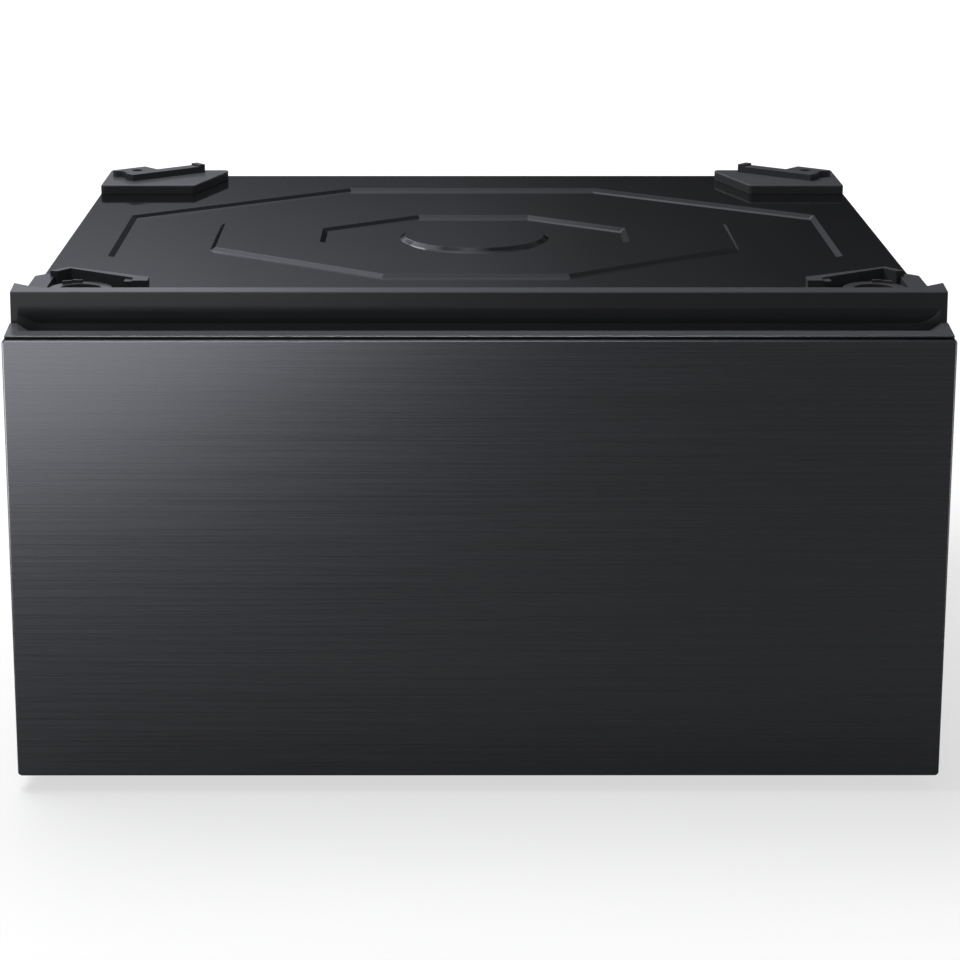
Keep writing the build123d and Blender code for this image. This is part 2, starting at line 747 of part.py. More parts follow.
middle_far = middle_web + slide_sheet
inner_near = slide_thickness - slide_sheet
inner_cage_web = middle_far + clearance + running_fit
inner_tip = inner_cage_web + cage_sheet + clearance + running_fit
lever_y = behind(slide_front + lever_place)
races = {
    "outer": (slide_sheet + clearance + running_fit, outer_row),
    "inner": (inner_cage_web, inner_row),
}
for side, name in side_names.items():
    with BuildPart() as slide_outer:
        channel(side, (0, slide_sheet), slide_flange, slide_half, slide_y(0, slide_length))
        for place in rivet_places:
            start = (across(side, 0), behind(slide_front + place), slide_height)
            rod(start, (-side, 0, 0), rivet_hole_radius, slide_sheet, mode=Mode.SUBTRACT)
    save(slide_outer.part, f"{name}_slide_outer")

    with BuildPart() as slide_middle:
        middle_tip = inner_near - running_fit
        channel(side, (middle_web, middle_far), middle_tip, middle_half, slide_y(0, slide_length))
    save(slide_middle.part, f"{name}_slide_middle")

    with BuildPart() as slide_inner:
        channel(side, (slide_thickness, inner_near), inner_tip, inner_half, slide_y(0, slide_length))
        pin_start = (across(side, slide_thickness), lever_y, slide_height)
        pin_length = slide_thickness - inner_tip - clearance
        rod(pin_start, (side, 0, 0), lever_pin_radius, pin_length)
        for place in rivet_places:
            start = (across(side, slide_thickness), behind(slide_front + place), slide_height)
            rod(start, (side, 0, 0), screw_hole_radius, slide_sheet, mode=Mode.SUBTRACT)
    save(slide_inner.part, f"{name}_slide_inner")

    for race, (web, row) in races.items():
        with BuildPart() as cage:
            cage_y = slide_y(cage_start, cage_length)
            cage_half = row + cage_sheet / 2
            channel(side, (web, web + cage_sheet), slide_flange - slide_sheet, cage_half, cage_y)
            for x, y, z in ball_places(side, row):
                start = (x, y, z - ball_radius)
                rod(start, (0, 0, 1), ball_radius + clearance, 2 * ball_radius, mode=Mode.SUBTRACT)
        save(cage.part, f"{name}_{race}_cage")
        with BuildPart() as balls:
            for place in ball_places(side, row):
                with Locations(place):
                    Sphere(ball_radius)
        save(balls.part, f"{name}_{race}_balls")

    with BuildPart() as release_lever:
        with BuildSketch(Plane.YZ.offset(across(side, inner_near - clearance))):
            with Locations((lever_y - lever_length / 2, slide_height)):
                SlotOverall(lever_length + lever_height, lever_height)
            with Locations((lever_y - lever_length, slide_height)):
                RectangleRounded(lever_height, lever_tab, lever_tab_corner)
            with Locations((lever_y, slide_height)):
                Circle(lever_hole_radius, mode=Mode.SUBTRACT)
        extrude(amount=side * lever_thickness)
    save(release_lever.part, f"{name}_release_lever")

# Slide brackets: hat sections on the side panels, with rivets that hold the fixed slide members
for side, name in side_names.items():
    with BuildPart() as slide_bracket:
        bracket_y = (behind(slide_front), behind(slide_front + bracket_length))
        wall_x = half_width - side_sheet
        block((side * slide_face, side * (slide_face + bracket_sheet)), bracket_y,
              (slide_height - bracket_half, slide_height + bracket_half))
        for sign in (-1, 1):
            edge = slide_height + sign * bracket_half
            block((side * slide_face, side * wall_x), bracket_y, (edge, edge - sign * bracket_sheet))
            foot_z = (edge, edge + sign * bracket_foot)
            block((side * (wall_x - bracket_sheet), side * wall_x), bracket_y, foot_z)
        for place in rivet_places:
            start = (side * slide_face, behind(slide_front + place), slide_height)
            rod(start, (side, 0, 0), rivet_hole_radius, bracket_sheet, mode=Mode.SUBTRACT)
    save(slide_bracket.part, f"{name}_slide_bracket")

with BuildPart() as slide_rivets:
    for side in side_names:
        for place in rivet_places:
            y = behind(slide_front + place)
            stack = slide_sheet + bracket_sheet
            rod((across(side, slide_sheet), y, slide_height), (side, 0, 0), rivet_radius, stack)
            head = (side * (slide_face + bracket_sheet), y, slide_height)
            rod(head, (side, 0, 0), rivet_head_radius, rivet_head)
save(slide_rivets.part, "slide_rivets")

# Drawer box: two hemmed sides, a floor, a back and a front wall that is screwed to the face's frame
wall_front = frame_rear + box_front_sheet
box_y = (behind(wall_front), behind(box_rear))
box_inner = box_half - box_sheet
for side, name in side_names.items():
    with BuildPart() as box_side:
        block((side * box_inner, side * box_half), box_y, (box_bottom, box_top))
        block((side * box_inner, side * (box_half + box_hem)), box_y, (box_top - box_sheet, box_top))
        for place in rivet_places:
            start = (side * box_inner, behind(slide_front + place), slide_height)
            rod(start, (side, 0, 0), screw_hole_radius, box_sheet, mode=Mode.SUBTRACT)
    save(box_side.part, f"drawer_{name}_side")

with BuildPart() as drawer_floor:
    block((-box_inner, box_inner), box_y, (box_bottom, box_bottom + box_sheet))
save(drawer_floor.part, "drawer_floor")

with BuildPart() as drawer_back:
    block((-box_inner, box_inner), (box_y[1] - box_sheet, box_y[1]), (box_bottom + box_sheet, box_top))
save(drawer_back.part, "drawer_back")

with BuildPart() as drawer_front_wall:
    block((-box_half, box_half), (behind(frame_rear), behind(wall_front)), (box_bottom, box_top))
    for x, z in face_screws:
        rod((x, behind(frame_rear), z), (0, 1, 0), screw_hole_radius, box_front_sheet, mode=Mode.SUBTRACT)
save(drawer_front_wall.part, "drawer_front_wall")

with BuildPart() as drawer_front_screws:
    for x, z in face_screws:
        rod((x, behind(wall_front), z), (0, 1, 0), screw_head_radius, screw_head)
        rod((x, behind(wall_front), z), (0, -1, 0), screw_radius, screw_length)
save(drawer_front_screws.part, "drawer_front_screws")

with BuildPart() as slide_inner_screws:
    for side in side_names:
        for place in rivet_places:
            y = behind(slide_front + place)
            rod((side * box_inner, y, slide_height), (-side, 0, 0), screw_head_radius, screw_head)
            rod((side * box_inner, y, slide_height), (side, 0, 0), screw_radius, box_sheet + slide_sheet)
save(slide_inner_screws.part, "slide_inner_screws")

with BuildPart() as drawer_bumpers:
    for side in side_names:
        for z in (cabinet_bottom + bumper_margin, rail_apron_bottom - bumper_margin):
            start = (side * (half_width - side_flange / 2), behind(frame_rear), z)
            rod(start, (0, 1, 0), bumper_radius, cabinet_front - frame_rear - clearance)
save(drawer_bumpers.part, "drawer_bumpers")

# Seats for the machine's rear feet: a flat pad with a turned guide, which ends in a raised stop
seat_top = deck_height + seat_thickness
guide_top = seat_top + guide_rise
for side, name in side_names.items():
    with BuildPart() as rear_seat:
        seat_plan = (
            (side * half_width, behind(seat_front)),
            (side * (half_width - seat_front_width), behind(seat_front)),
            (side * (half_width - seat_rear_width), behind(seat_front + seat_taper_length)),
            (side * (half_width - seat_rear_width), behind(seat_front + seat_length)),
            (side * half_width, behind(seat_front + seat_length)),
        )
        along_z(seat_plan, deck_height, seat_top)
        fillet(rear_seat.edges().filter_by(Axis.Z), seat_corner)
        fillet(rear_seat.faces().sort_by(Axis.Z)[-1].edges(), seat_edge)
        block_length, block_width = guide_block
        bar_length, bar_width = guide_bar
        guide_plan = (
            guide_point(side, 0, 0),
            guide_point(side, bar_length, 0),
            guide_point(side, bar_length, bar_width),
            guide_point(side, block_length, bar_width),
            guide_point(side, block_length, block_width),
            guide_point(side, 0, block_width),
            guide_point(side, 0, guide_notch_end),
            guide_point(side, guide_notch_depth, guide_notch_end - guide_notch_depth),
            guide_point(side, guide_notch_depth, guide_notch_start + guide_notch_depth),
            guide_point(side, 0, guide_notch_start),
        )
        along_z(guide_plan, seat_top, guide_top)
        stop_length, stop_rise = guide_stop
        stop_plan = (
            guide_point(side, bar_length - stop_length, 0),
            guide_point(side, bar_length, 0),
            guide_point(side, bar_length, bar_width),
            guide_point(side, bar_length - stop_length, bar_width),
        )
        along_z(stop_plan, guide_top, guide_top + stop_rise)
        x, y = seat_bolts[side]
        bolt_hole_depth = guide_top - deck_height - seat_bolt_floor
        rod((x, y, guide_top), (0, 0, -1), seat_bolt_hole, bolt_hole_depth, mode=Mode.SUBTRACT)
        rod((x, y, deck_height), (0, 0, 1), screw_hole_radius, seat_bolt_floor, mode=Mode.SUBTRACT)
    save(rear_seat.part, f"rear_{name}_seat")


# Pockets for the machine's front feet: a flanged base, a side block and a wall around the foot's clip
def pocket_point(side, place):
    """Plan point of a front pocket, from the cabinet's side and the drawer's face."""
    inset, distance = place
    return (side * (half_width - inset), behind(distance))


def moved(place, inset, distance):
    """The same place, further inboard and further back."""
    return (place[0] + inset, place[1] + distance)


pocket_floor = deck_height + pocket_base
for side, name in side_names.items():
    with BuildPart() as front_pocket:
        block_inset = rail_side_gap + pocket_block_width
        base_plan = [
            (rail_side_gap, gusset_rear + clearance),
            (rail_side_gap, pocket_block_rear - pocket_block_round),
            (rail_side_gap + pocket_block_round, pocket_block_rear),
            (block_inset, pocket_block_rear),
            moved(pocket_wall_corner, 0, pocket_flange),
            moved(pocket_wall_end, pocket_flange, pocket_flange / 2),
            (pocket_wall_end[0] + pocket_flange, pocket_front),
            (rail_side_gap + gusset_width + pocket_flange, pocket_front),
            (rail_side_gap + gusset_width + pocket_flange, gusset_rear + clearance),
        ]
        along_z([pocket_point(side, place) for place in base_plan], deck_height, pocket_floor)
        block_plan = [
            (rail_side_gap, gusset_rear + clearance),
            (rail_side_gap, pocket_block_rear - pocket_block_round),
            (rail_side_gap + pocket_block_round, pocket_block_rear),
            (block_inset, pocket_block_rear),
            (block_inset, gusset_rear + clearance),
        ]
        block_outline = [pocket_point(side, place) for place in block_plan]
        along_z(block_outline, pocket_floor, deck_height + pocket_block_rise)
        post_width, post_length = pocket_post
        wall_plan = [
            pocket_wall_start,
            pocket_wall_corner,
            pocket_wall_end,
            moved(pocket_wall_end, 0, -post_length),
            moved(pocket_wall_end, -post_width, -post_length),
            moved(pocket_wall_end, -post_width, -pocket_wall / 2),
            moved(pocket_wall_corner, pocket_wall / 3, -pocket_wall - clearance),
            moved(pocket_wall_start, pocket_wall, -pocket_wall / 3),
        ]
        wall_outline = [pocket_point(side, place) for place in wall_plan]
        along_z(wall_outline, pocket_floor, deck_height + pocket_wall_rise)
        rib_width, rib_length = pocket_rib
        cap_width, cap_drop = pocket_rib_cap
        rib_top = deck_height + pocket_wall_rise - pocket_rib_drop
        rib_inset = pocket_wall_end[0] - post_width
        rib_y = (behind(pocket_wall_end[1] - rib_length), behind(pocket_wall_end[1]))
        for reach, low in ((rib_width, pocket_floor), (cap_width, rib_top - cap_drop)):
            block(
                (side * (half_width - rib_inset), side * (half_width - rib_inset + reach)),
                rib_y,
                (low, rib_top),
            )
        for x, y in pocket_screws[side]:
            rod((x, y, deck_height), (0, 0, 1), screw_hole_radius, pocket_base, mode=Mode.SUBTRACT)
    save(front_pocket.part, f"front_{name}_pocket")

    with BuildPart() as front_clip:
        clip_x, clip_y = pocket_point(side, clip_centre)
        with BuildSketch(Plane.XY.offset(pocket_floor)) as ring:
            with Locations((clip_x, clip_y)):
                Circle(clip_radius)
                Circle(clip_radius - clip_wall, mode=Mode.SUBTRACT)
            mouth = clip_radius * sin(radians(clip_mouth)) / cos(radians(clip_mouth))
            with BuildLine():
                Polyline(
                    (clip_x, clip_y),
                    (clip_x - mouth, clip_y - clip_radius),
                    (clip_x - mouth, clip_y - 2 * clip_radius),
                    (clip_x + mouth, clip_y - 2 * clip_radius),
                    (clip_x + mouth, clip_y - clip_radius),
                    close=True,
                )
            make_face(mode=Mode.SUBTRACT)
        extrude(ring.sketch, amount=clip_rise - pocket_base)
        hook_length, hook_width = clip_hook
        for turn in clip_hook_turns:
            with BuildSketch(Plane.XY.offset(pocket_floor)) as hook:
                with Locations(Location((clip_x, clip_y), 90 - side * turn)):
                    with Locations((clip_radius - clip_wall / 2, 0)):
                        Rectangle(hook_width, hook_length, rotation=side * clip_hook_lean)
            extrude(hook.sketch, amount=clip_rise + clip_hook_rise - pocket_base)
    save(front_clip.part, f"front_{name}_clip")

with BuildPart() as seat_screws:
    for side in side_names:
        x, y = seat_bolts[side]
        rod((x, y, deck_height + seat_bolt_floor), (0, 0, 1), screw_head_radius, screw_head)
        rod((x, y, deck_height + seat_bolt_floor), (0, 0, -1), screw_radius, screw_length)
        for px, py in pocket_screws[side]:
            rod((px, py, pocket_floor), (0, 0, 1), screw_head_radius, screw_head)
            rod((px, py, pocket_floor), (0, 0, -1), screw_radius, screw_length)
save(seat_screws.part, "seat_screws")
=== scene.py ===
import json
import math

import bmesh
import bpy
from mathutils import Matrix, Vector


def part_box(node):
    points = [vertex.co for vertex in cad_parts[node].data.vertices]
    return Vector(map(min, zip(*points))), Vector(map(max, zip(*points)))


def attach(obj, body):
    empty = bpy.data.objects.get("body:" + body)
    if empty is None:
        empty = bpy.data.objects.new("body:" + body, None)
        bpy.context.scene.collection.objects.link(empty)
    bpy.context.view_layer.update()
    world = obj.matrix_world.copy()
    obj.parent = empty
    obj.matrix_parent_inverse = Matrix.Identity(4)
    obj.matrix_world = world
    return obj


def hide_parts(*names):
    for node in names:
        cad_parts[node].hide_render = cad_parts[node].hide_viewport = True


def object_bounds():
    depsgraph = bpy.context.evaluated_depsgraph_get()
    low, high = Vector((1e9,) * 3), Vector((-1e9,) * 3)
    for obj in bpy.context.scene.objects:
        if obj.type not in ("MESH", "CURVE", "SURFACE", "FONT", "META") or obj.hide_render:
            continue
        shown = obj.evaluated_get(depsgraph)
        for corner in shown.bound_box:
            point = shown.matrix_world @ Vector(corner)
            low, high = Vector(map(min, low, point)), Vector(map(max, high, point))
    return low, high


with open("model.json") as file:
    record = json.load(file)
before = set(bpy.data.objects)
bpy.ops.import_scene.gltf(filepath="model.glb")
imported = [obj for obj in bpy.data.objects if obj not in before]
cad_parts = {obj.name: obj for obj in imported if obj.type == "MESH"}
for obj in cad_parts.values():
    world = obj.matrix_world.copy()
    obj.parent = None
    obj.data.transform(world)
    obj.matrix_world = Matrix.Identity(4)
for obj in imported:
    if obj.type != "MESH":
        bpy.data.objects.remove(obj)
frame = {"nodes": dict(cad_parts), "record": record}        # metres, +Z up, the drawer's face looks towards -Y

nodes = frame["nodes"]
record = frame["record"]
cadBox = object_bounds()
bodyOf = {node: body for body, members in record["behaviour"]["bodies"].items() for node in members}
slotOf = {part["node"]: part["material_slot"] for part in record["subparts"]}


# Shader helpers

def startMaterial(name, colour, metallic, roughness, specular=0.5):
    mat = bpy.data.materials.new(name)
    mat.use_nodes = True
    shader = mat.node_tree.nodes["Principled BSDF"]
    shader.inputs["Base Color"].default_value = (*colour, 1)
    shader.inputs["Metallic"].default_value = metallic
    shader.inputs["Roughness"].default_value = roughness
    shader.inputs["Specular IOR Level"].default_value = specular
    mat.diffuse_color = (*colour, 1)
    return mat, mat.node_tree, shader


def objectPlace(tree, scale=(1, 1, 1)):
    coord = tree.nodes.new("ShaderNodeTexCoord")
    mapping = tree.nodes.new("ShaderNodeMapping")
    mapping.inputs["Scale"].default_value = scale
    tree.links.new(coord.outputs["Object"], mapping.inputs["Vector"])
    return mapping.outputs["Vector"]


def noiseOn(tree, vector, scale, detail=4.0, rough=0.5):
    node = tree.nodes.new("ShaderNodeTexNoise")
    node.inputs["Scale"].default_value = scale
    node.inputs["Detail"].default_value = detail
    node.inputs["Roughness"].default_value = rough
    tree.links.new(vector, node.inputs["Vector"])
    return node.outputs["Fac"]


def spread(tree, value, low, high, start=0.3, end=0.7):
    # value from start to end becomes low to high
    node = tree.nodes.new("ShaderNodeMapRange")
    node.inputs["From Min"].default_value = start
    node.inputs["From Max"].default_value = end
    node.inputs["To Min"].default_value = low
    node.inputs["To Max"].default_value = high
    tree.links.new(value, node.inputs["Value"])
    return node.outputs["Result"]


def tintBetween(tree, value, dark, light, start=0.3, end=0.7):
    node = tree.nodes.new("ShaderNodeValToRGB")
    node.color_ramp.elements[0].position = start
    node.color_ramp.elements[0].color = (*dark, 1)
    node.color_ramp.elements[1].position = end
    node.color_ramp.elements[1].color = (*light, 1)
    tree.links.new(value, node.inputs["Fac"])
    return node.outputs["Color"]


def raiseSurface(tree, shader, height, strength, distance):
    node = tree.nodes.new("ShaderNodeBump")
    node.inputs["Strength"].default_value = strength
    node.inputs["Distance"].default_value = distance
    tree.links.new(height, node.inputs["Height"])
    tree.links.new(node.outputs["Normal"], shader.inputs["Normal"])


def timesOf(tree, value, factor):
    node = tree.nodes.new("ShaderNodeMath")
    node.operation = "MULTIPLY"
    tree.links.new(value, node.inputs[0])
    if isinstance(factor, float):
        node.inputs[1].default_value = factor
    else:
        tree.links.new(factor, node.inputs[1])
    return node.outputs[0]


def greaterOf(tree, one, other):
    node = tree.nodes.new("ShaderNodeMath")
    node.operation = "MAXIMUM"
    tree.links.new(one, node.inputs[0])
    tree.links.new(other, node.inputs[1])
    return node.outputs[0]


def gradedBy(tree, value, stops):
    # brightness that follows a few (place, level) stops
    first, last = stops[0][0], stops[-1][0]
    ramp = tree.nodes.new("ShaderNodeValToRGB")
    for index, (place, level) in enumerate(stops):
        at = (place - first) / (last - first)
        if 0 < index < len(stops) - 1:
            stop = ramp.color_ramp.elements.new(at)
        else:
            stop = ramp.color_ramp.elements[0 if index == 0 else -1]
        stop.color = (level, level, level, 1)
    tree.links.new(spread(tree, value, 0.0, 1.0, first, last), ramp.inputs["Fac"])
    return ramp.outputs["Color"]


def shade(colour, factor):
    return tuple(min(1.0, part * factor) for part in colour)


# Finishes, one function each

def brushedDarkSteel():
    look = {"colour": (0.0403, 0.0413, 0.0454), "contrast": 0.10, "roughness": 0.28, "roughBy": 0.03,
            "hair": (5, 5, 1500), "detail": 5, "breakUp": 0.7, "bump": 0.06, "depth": 0.0001}
    colour, roughness, contrast = look["colour"], look["roughness"], look["contrast"]
    mat, tree, shader = startMaterial("brushedDarkSteel", colour, 1.0, roughness)
    hair = noiseOn(tree, objectPlace(tree, look["hair"]), 1.0, look["detail"], look["breakUp"])
    tint = tintBetween(tree, hair, shade(colour, 1 - contrast), shade(colour, 1 + contrast))
    tree.links.new(tint, shader.inputs["Base Color"])
    tree.links.new(spread(tree, hair, roughness - look["roughBy"], roughness + look["roughBy"]),
                   shader.inputs["Roughness"])
    raiseSurface(tree, shader, hair, look["bump"], look["depth"])
    return mat


def cloudedFinish(name, colour, metallic, roughness, specular, look):
    # soft clouds vary the tint and the roughness, and a fine grain raises the surface
    mat, tree, shader = startMaterial(name, colour, metallic, roughness, specular)
    place = objectPlace(tree)
    cloud = noiseOn(tree, place, *look["cloud"])
    darker, lighter = look["tint"]
    tree.links.new(tintBetween(tree, cloud, shade(colour, darker), shade(colour, lighter)),
                   shader.inputs["Base Color"])
    tree.links.new(spread(tree, cloud, *look["rough"]), shader.inputs["Roughness"])
    raiseSurface(tree, shader, noiseOn(tree, place, *look["grain"]), look["bump"], look["depth"])
    return mat


def paintedSteel(name, colour, roughness, peel):
    look = {"cloud": (9.0, 3), "tint": (0.9, 1.1), "rough": (roughness * 0.9, roughness * 1.1),
            "grain": (380.0, 2), "bump": peel, "depth": 0.0001}
    return cloudedFinish(name, colour, 0.0, roughness, 0.5, look)


def mouldedPlastic(name, colour, roughness, grain, specular=0.5):
    look = {"cloud": (14.0, 4), "tint": (0.97, 1.03), "rough": (roughness - 0.01, roughness + 0.01),
            "grain": (1500.0, 3, 0.6), "bump": grain, "depth": 0.0002}
    return cloudedFinish(name, colour, 0.0, roughness, specular, look)


def platedSteel(name, colour, roughness):
    look = {"cloud": (60.0, 5, 0.6), "tint": (0.85, 1.1), "rough": (roughness - 0.06, roughness + 0.08),
            "grain": (900.0, 3), "bump": 0.08, "depth": 0.0001}
    return cloudedFinish(name, colour, 1.0, roughness, 0.5, look)


finishes = {
    "brushed_dark_steel": brushedDarkSteel(),
    "black_paint": paintedSteel("glossBlackPaint", (0.0060, 0.0061, 0.0065), roughness=0.06, peel=0.02),
    "grey_paint": paintedSteel("greyBoxPaint", (0.32, 0.33, 0.34), roughness=0.42, peel=0.10),
    "black_screw": paintedSteel("blackScrewPaint", (0.02, 0.02, 0.021), roughness=0.35, peel=0.05),
    "dark_plastic": mouldedPlastic("grainedDarkPlastic", (0.0538, 0.0552, 0.0608), roughness=0.30, grain=0.06,
                                   specular=0.06),
    "frame_plastic": mouldedPlastic("framePlastic", (0.02, 0.02, 0.021), roughness=0.55, grain=0.08,
                                    specular=0.3),
    "clip_plastic": mouldedPlastic("clipPlastic", (0.035, 0.035, 0.037), roughness=0.4, grain=0.05,
                                   specular=0.4),
    "lever_plastic": mouldedPlastic("leverPlastic", (0.02, 0.02, 0.02), roughness=0.3, grain=0.03),
    "rubber": mouldedPlastic("footRubber", (0.018, 0.018, 0.018), roughness=0.75, grain=0.3, specular=0.3),
    "zinc_steel": platedSteel("zincPlate", (0.55, 0.56, 0.57), roughness=0.34),
    "bearing_steel": platedSteel("bearingSteel", (0.68, 0.68, 0.7), roughness=0.14),
}
for name, obj in nodes.items():
    obj.data.materials.clear()
    obj.data.materials.append(finishes[slotOf[name]])
print("finishes:", len(finishes), "on", len(nodes), "nodes")


# Helpers for pieces

weld = {"gap": 1e-6, "spunGap": 1e-7, "flatWithin": 0.3}        # metres, metres, degrees
upright = (0, 0, 1)


def meshFrom(name, bm):
    mesh = bpy.data.meshes.new(name)
    bm.to_mesh(mesh)
    bm.free()
    return mesh


def addPiece(name, bm, node, smoothAngle=35):
    mesh = meshFrom(name, bm)
    mesh.materials.append(finishes[slotOf[node]])
    mesh.shade_smooth()
    mesh.set_sharp_from_angle(angle=math.radians(smoothAngle))
    piece = bpy.data.objects.new(name, mesh)
    bpy.context.scene.collection.objects.link(piece)
    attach(piece, bodyOf[node])
    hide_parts(node)
    return piece


def weldedCopy(node):
    # the loose triangles of a node as clean shells
    bm = bmesh.new()
    bm.from_mesh(nodes[node].data)
    bmesh.ops.remove_doubles(bm, verts=bm.verts, dist=weld["gap"])
    return bm


def roundEdges(bm, radius, segments, sharperThan, chosen=lambda edge: True):
    edges = [e for e in bm.edges
             if e.is_manifold and e.calc_face_angle(0) > math.radians(sharperThan) and chosen(e)]
    bmesh.ops.bevel(bm, geom=edges, offset=radius, offset_type="OFFSET", affect="EDGES", segments=segments,
                    profile=0.5, material=-1, clamp_overlap=True)
    bmesh.ops.recalc_face_normals(bm, faces=bm.faces)


def solidBoxes(node):
    # lowest and highest corner of each separate solid of a node
    bm = weldedCopy(node)
    waiting, boxes = set(bm.verts), []
    while waiting:
        frontier, island = [waiting.pop()], []
        while frontier:
            vert = frontier.pop()
            island.append(vert.co)
            for link in vert.link_edges:
                other = link.other_vert(vert)
                if other in waiting:
                    waiting.remove(other)
                    frontier.append(other)
        low = Vector(min(co[i] for co in island) for i in range(3))
        high = Vector(max(co[i] for co in island) for i in range(3))
        boxes.append((low, high))
    bm.free()
    return boxes


def turnTo(direction):
    return Vector(upright).rotation_difference(Vector(direction)).to_matrix().to_4x4()


def profileEdges(bm, profile):
    # open line through points of (radius, height), ready to spin
    verts = [bm.verts.new((radius, 0, height)) for radius, height in profile]
    return verts + [bm.edges.new(pair) for pair in zip(verts, verts[1:])]


def spinProfile(bm, profile, steps):
    # full turn about the upright axis, closed where the profile meets it
    bmesh.ops.spin(bm, geom=profileEdges(bm, profile), cent=(0, 0, 0), axis=upright, dvec=(0, 0, 0),
                   angle=2 * math.pi, steps=steps, use_merge=True)
    bmesh.ops.remove_doubles(bm, verts=bm.verts, dist=weld["spunGap"])
    bmesh.ops.recalc_face_normals(bm, faces=bm.faces)


def onlyOf(kind, geom):
    return [g for g in geom if isinstance(g, kind)]


def moveInto(target, source):
    # adds one shape to another and frees it
    mesh = meshFrom("single", source)
    target.from_mesh(mesh)
    bpy.data.meshes.remove(mesh)


def repeatShape(single, places):
    # one shape made at the origin, set at each (point, direction)
    mesh = meshFrom("single", single)
    group = bmesh.new()
    for point, direction in places:
        start = len(group.verts)
        group.from_mesh(mesh)
        group.verts.ensure_lookup_table()
        bmesh.ops.transform(group, matrix=Matrix.Translation(point) @ turnTo(direction),
                            verts=group.verts[start:])
    bpy.data.meshes.remove(mesh)
    return group


# Mouldings and sheets with rounded edges, where {} stands for left and right

# radius, segments, and the angle in degrees from which an edge is rounded
softEdges = {
    "front_top_rail": (0.0012, 3, 20),
    "handle_cap": (0.0004, 3, 20),
    "top_plate": (0.0013, 3, 12),
    "rear_{}_seat": (0.0009, 3, 20),
    "front_{}_pocket": (0.0008, 3, 20),
    "front_{}_clip": (0.0005, 2, 30),
    "drawer_front_skin": (0.0003, 2, 40),
    "drawer_front_frame": (0.0006, 2, 40),
    "{}_side_panel": (0.0003, 2, 40),
    "rear_panel": (0.0003, 2, 12),
    "front_cross_member": (0.0004, 2, 40),
    "{}_base_rail": (0.0007, 3, 40),
    "front_base_rail": (0.0007, 3, 40),
    "rear_base_rail": (0.0007, 3, 40),
    "{}_slide_bracket": (0.0005, 2, 40),
    "{}_slide_outer": (0.0004, 2, 40),
    "{}_slide_middle": (0.0004, 2, 40),
    "{}_slide_inner": (0.0004, 2, 40),
    "{}_outer_cage": (0.0002, 2, 40),
    "{}_inner_cage": (0.0002, 2, 40),
    "{}_release_lever": (0.0006, 3, 40),
    "drawer_{}_side": (0.0003, 2, 40),
    "drawer_back": (0.0003, 2, 40),
    "drawer_floor": (0.0003, 2, 40),
    "drawer_front_wall": (0.0004, 2, 40),
}
faceBend = {"node": "drawer_front_skin", "radius": 0.0016, "segments": 5, "within": 1e-5}
facePlane = cadBox[0][1]


def onFaceRim(edge):
    return all(abs(vert.co.y - facePlane) < faceBend["within"] for vert in edge.verts)


def softPiece(node, radius, segments, sharperThan):
    shell = weldedCopy(node)
    bmesh.ops.dissolve_limit(shell, angle_limit=math.radians(weld["flatWithin"]), verts=shell.verts,
                             edges=shell.edges)
    if node == faceBend["node"]:
        roundEdges(shell, faceBend["radius"], faceBend["segments"], sharperThan, onFaceRim)
    roundEdges(shell, radius, segments, sharperThan)
    piece = addPiece(node + "_soft", shell, node)
    even = piece.modifiers.new("evenShade", "WEIGHTED_NORMAL")        # large flats keep their own direction
    even.keep_sharp = True
    return piece


softPieces = {node: softPiece(node, *look) for pattern, look in softEdges.items()
              for node in dict.fromkeys(pattern.format(side) for side in ("left", "right"))}
print("rounded mouldings and sheets:", len(softPieces))


# Screws with a cross recess

screwLook = {"head": 0.0042, "rise": 0.0020, "shank": 0.0020, "crown": 0.60, "arm": 0.56, "slot": 0.15,
             "recess": 0.0012, "taper": 0.72, "onAxis": 0.01, "cells": 5,
             "rim": ((0.86, 0.22), (1.0, 0.62), (1.0, 1.0)), "point": {"starts": 0.9, "tip": 0.2}}


def inCross(face, crown):
    across = sorted(abs(part) for part in face.calc_center_median().xy)
    return across[0] < crown * screwLook["onAxis"] and across[1] < crown * screwLook["arm"]


